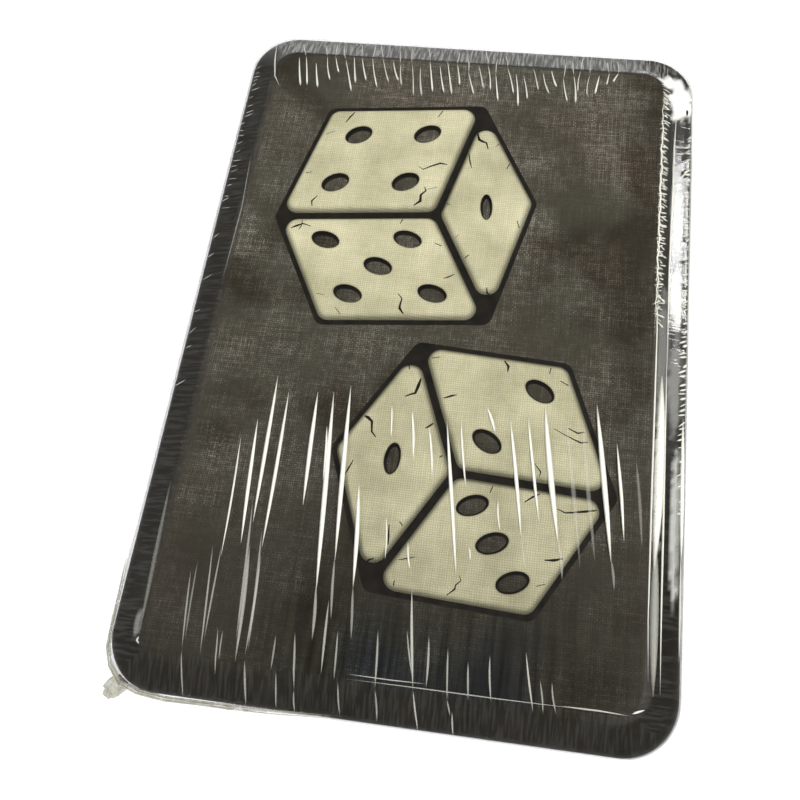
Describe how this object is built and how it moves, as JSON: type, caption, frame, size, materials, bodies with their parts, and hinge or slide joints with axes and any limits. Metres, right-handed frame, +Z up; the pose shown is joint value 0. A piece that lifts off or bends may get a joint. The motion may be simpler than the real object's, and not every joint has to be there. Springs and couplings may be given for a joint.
{
  "type": "metal dice box",
  "caption": "Rectangular slip-lid tin with an embossed lid and clear shrink film, holding a polyhedral dice set in foam wells.",
  "frame": {"origin": "centre of the footprint, on the surface that the tin rests on (underside of the film)", "axes": "+Z up out of the lid, +Y along the tin's length away from the viewer of the picture, +X to the right across its width"},
  "size_m": [0.1006, 0.1456, 0.0317],
  "materials": {
    "printed_tin": "tinplate printed with a dark linen texture and a bone-coloured embossed pattern, matt varnish",
    "dark_tin": "tinplate with a near-black coating, bare metal inside",
    "clear_film": "clear glossy heat-shrink film with fine wrinkles",
    "black_foam": "fine-celled black foam sheet",
    "grey_foam": "soft dark grey foam sheet",
    "dice_resin": "bone-coloured cast resin with dark inked digits"
  },
  "bodies": {
    "base": {"tray": "dark_tin", "foam_floor": "black_foam", "foam_insert": "black_foam", "film_sides": "clear_film", "film_underside": "clear_film"},
    "lid": {"lid_shell": "printed_tin", "lid_pad": "grey_foam", "film_lid": "clear_film"},
    "d20_die": {"die_d20": "dice_resin"},
    "d12_die": {"die_d12": "dice_resin"},
    "d10_die": {"die_d10": "dice_resin"},
    "d10_tens_die": {"die_d10_tens": "dice_resin"},
    "d8_die": {"die_d8": "dice_resin"},
    "d6_die": {"die_d6": "dice_resin"},
    "d4_die": {"die_d4": "dice_resin"}
  },
  "joints": [
    {"name": "lid_lift", "type": "slide", "parent": "base", "child": "lid", "axis": [0, 0, 1], "range_m": [0, 0.09]},
    {"name": "d20_lift", "type": "slide", "parent": "base", "child": "d20_die", "axis": [0, 0, 1], "range_m": [0, 0.00295]},
    {"name": "d12_lift", "type": "slide", "parent": "base", "child": "d12_die", "axis": [0, 0, 1], "range_m": [0, 0.00455]},
    {"name": "d10_lift", "type": "slide", "parent": "base", "child": "d10_die", "axis": [0, 0, 1], "range_m": [0, 0.00735]},
    {"name": "d10_tens_lift", "type": "slide", "parent": "base", "child": "d10_tens_die", "axis": [0, 0, 1], "range_m": [0, 0.00735]},
    {"name": "d8_lift", "type": "slide", "parent": "base", "child": "d8_die", "axis": [0, 0, 1], "range_m": [0, 0.00795]},
    {"name": "d6_lift", "type": "slide", "parent": "base", "child": "d6_die", "axis": [0, 0, 1], "range_m": [0, 0.00695]},
    {"name": "d4_lift", "type": "slide", "parent": "base", "child": "d4_die", "axis": [0, 0, 1], "range_m": [0, 0.00705]}
  ]
}
